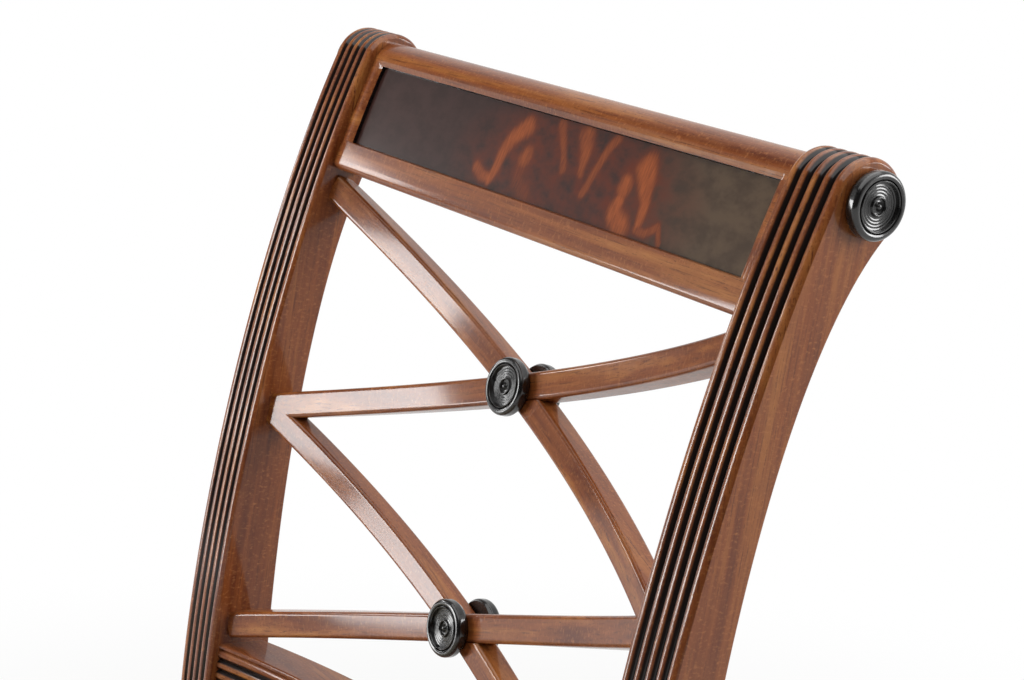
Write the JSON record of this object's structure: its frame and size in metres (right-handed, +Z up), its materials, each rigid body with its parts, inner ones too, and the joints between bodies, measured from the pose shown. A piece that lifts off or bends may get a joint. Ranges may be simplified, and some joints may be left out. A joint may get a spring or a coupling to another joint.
{
  "type": "lattice back dining chair",
  "caption": "Dining chair with reeded scrolled stiles, a double X lattice back with turned black discs, sabre legs and a lift-out padded seat.",
  "frame": {"origin": "on the floor, below the middle of the chair's bounding box", "axes": "+Z up, the chair faces -Y, +X to the right as seen from in front"},
  "size_m": [0.49, 0.6, 0.865],
  "materials": {
    "mahogany": "red-brown mahogany, satin polish",
    "crotch_veneer": "crotch mahogany veneer, dark with a flame figure, glossy polish",
    "ebonised_wood": "turned wood stained black, glossy",
    "beech": "bare planed beech",
    "jute": "jute webbing",
    "padding": "felted padding",
    "seat_cloth": "plain woven cloth, ivory",
    "lining_cloth": "black lining cloth",
    "steel": "plain steel wood screws",
    "glide": "dark brown nylon"
  },
  "bodies": {
    "frame": {"corner_block_front_left": "beech", "corner_block_front_right": "beech", "corner_block_rear_left": "beech", "corner_block_rear_right": "beech", "crest_rail": "mahogany", "crest_veneer": "crotch_veneer", "crossing_dowel_lower": "beech", "crossing_dowel_upper": "beech", "front_leg_left": "mahogany", "front_leg_right": "mahogany", "glide_front_left": "glide", "glide_front_right": "glide", "glide_rear_left": "glide", "glide_rear_right": "glide", "lattice_bar_lower_rising_left": "mahogany", "lattice_bar_lower_rising_right": "mahogany", "lattice_bar_upper_rising_left": "mahogany", "lattice_bar_upper_rising_right": "mahogany", "lower_back_rail": "mahogany", "rosette_lower_front": "ebonised_wood", "rosette_lower_rear": "ebonised_wood", "rosette_upper_front": "ebonised_wood", "rosette_upper_rear": "ebonised_wood", "screw_front_cross_left": "steel", "screw_front_cross_right": "steel", "screw_front_side_left": "steel", "screw_front_side_right": "steel", "screw_rear_cross_left": "steel", "screw_rear_cross_right": "steel", "screw_rear_side_left": "steel", "screw_rear_side_right": "steel", "scroll_roundel_left": "ebonised_wood", "scroll_roundel_right": "ebonised_wood", "seat_bearer_front": "beech", "seat_bearer_left": "beech", "seat_bearer_rear": "beech", "seat_bearer_right": "beech", "seat_rail_front": "mahogany", "seat_rail_left": "mahogany", "seat_rail_rear": "mahogany", "seat_rail_right": "mahogany", "stile_left": "mahogany", "stile_right": "mahogany"},
    "seat": {"seat_cover": "seat_cloth", "seat_frame_front": "beech", "seat_frame_left": "beech", "seat_frame_rear": "beech", "seat_frame_right": "beech", "seat_lining": "lining_cloth", "seat_pad": "padding", "webbing_across_1": "jute", "webbing_across_2": "jute", "webbing_across_3": "jute", "webbing_lengthways_1": "jute", "webbing_lengthways_2": "jute", "webbing_lengthways_3": "jute"}
  },
  "joints": [
    {"name": "seat_lift", "type": "slide", "parent": "frame", "child": "seat", "axis": [0, 0, 1], "range_m": [0, 0.08]}
  ]
}
